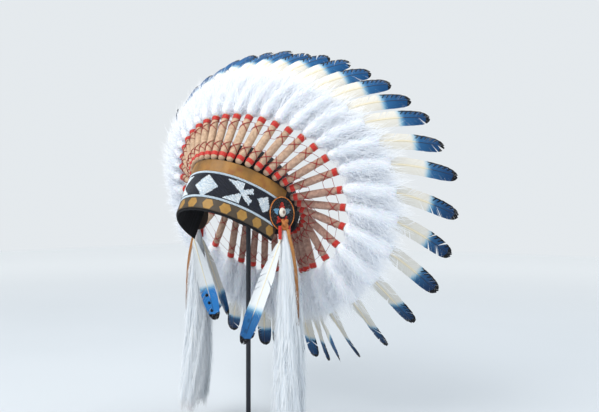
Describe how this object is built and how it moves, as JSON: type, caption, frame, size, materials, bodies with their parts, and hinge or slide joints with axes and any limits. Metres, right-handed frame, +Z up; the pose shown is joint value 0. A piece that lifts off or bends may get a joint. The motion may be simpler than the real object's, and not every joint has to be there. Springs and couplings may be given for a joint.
{
  "type": "feathered headdress on a post stand",
  "caption": "Feathered headdress: a full ring of wrapped feathers laced to a felt cap, with a beaded brow band, temple rosettes and hanging fur tails, on a plain post stand.",
  "frame": {"origin": "centre of the underside of the stand's round base", "axes": "+Z up, -Y the way that the headdress faces, +X the wearer's left"},
  "size_m": [0.6163, 0.3572, 0.6952],
  "materials": {
    "feather_white": "matte",
    "felt_black": "matte",
    "lining_black": "matte",
    "leather_tan": "satin",
    "beads_navy": "gloss",
    "leather_spotted": "satin",
    "rosette_beads": "gloss",
    "bone": "satin",
    "thong_leather": "matte",
    "fur_white": "matte",
    "stand_black": "satin"
  },
  "bodies": {
    "root": {"feather_01": "feather_white", "feather_02": "feather_white", "feather_03": "feather_white", "feather_04": "feather_white", "feather_05": "feather_white", "feather_06": "feather_white", "feather_07": "feather_white", "feather_08": "feather_white", "feather_09": "feather_white", "feather_10": "feather_white", "feather_11": "feather_white", "feather_12": "feather_white", "feather_13": "feather_white", "feather_14": "feather_white", "feather_15": "feather_white", "feather_16": "feather_white", "feather_17": "feather_white", "feather_18": "feather_white", "feather_19": "feather_white", "feather_20": "feather_white", "feather_21": "feather_white", "feather_22": "feather_white", "feather_23": "feather_white", "feather_24": "feather_white", "feather_25": "feather_white", "feather_26": "feather_white", "feather_27": "feather_white", "feather_28": "feather_white", "feather_29": "feather_white", "feather_30": "feather_white", "feather_31": "feather_white", "feather_32": "feather_white", "feather_33": "feather_white", "feather_34": "feather_white", "feather_35": "feather_white", "feather_36": "feather_white", "feather_37": "feather_white", "feather_38": "feather_white", "felt_cap": "felt_black", "band_lining": "lining_black", "tan_leather_strip": "leather_tan", "beaded_brow_band": "beads_navy", "spotted_leather_strip": "leather_spotted", "rosette_left": "rosette_beads", "concho_left": "bone", "thong_knot_left": "thong_leather", "hanging_thong_left": "thong_leather", "fur_tail_left": "fur_white", "drop_feather_left_front": "feather_white", "drop_feather_left_rear": "feather_white", "rosette_right": "rosette_beads", "concho_right": "bone", "thong_knot_right": "thong_leather", "hanging_thong_right": "thong_leather", "fur_tail_right": "fur_white", "drop_feather_right_front": "feather_white", "drop_feather_right_rear": "feather_white", "stand_post": "stand_black", "stand_base": "stand_black"}
  },
  "joints": []
}
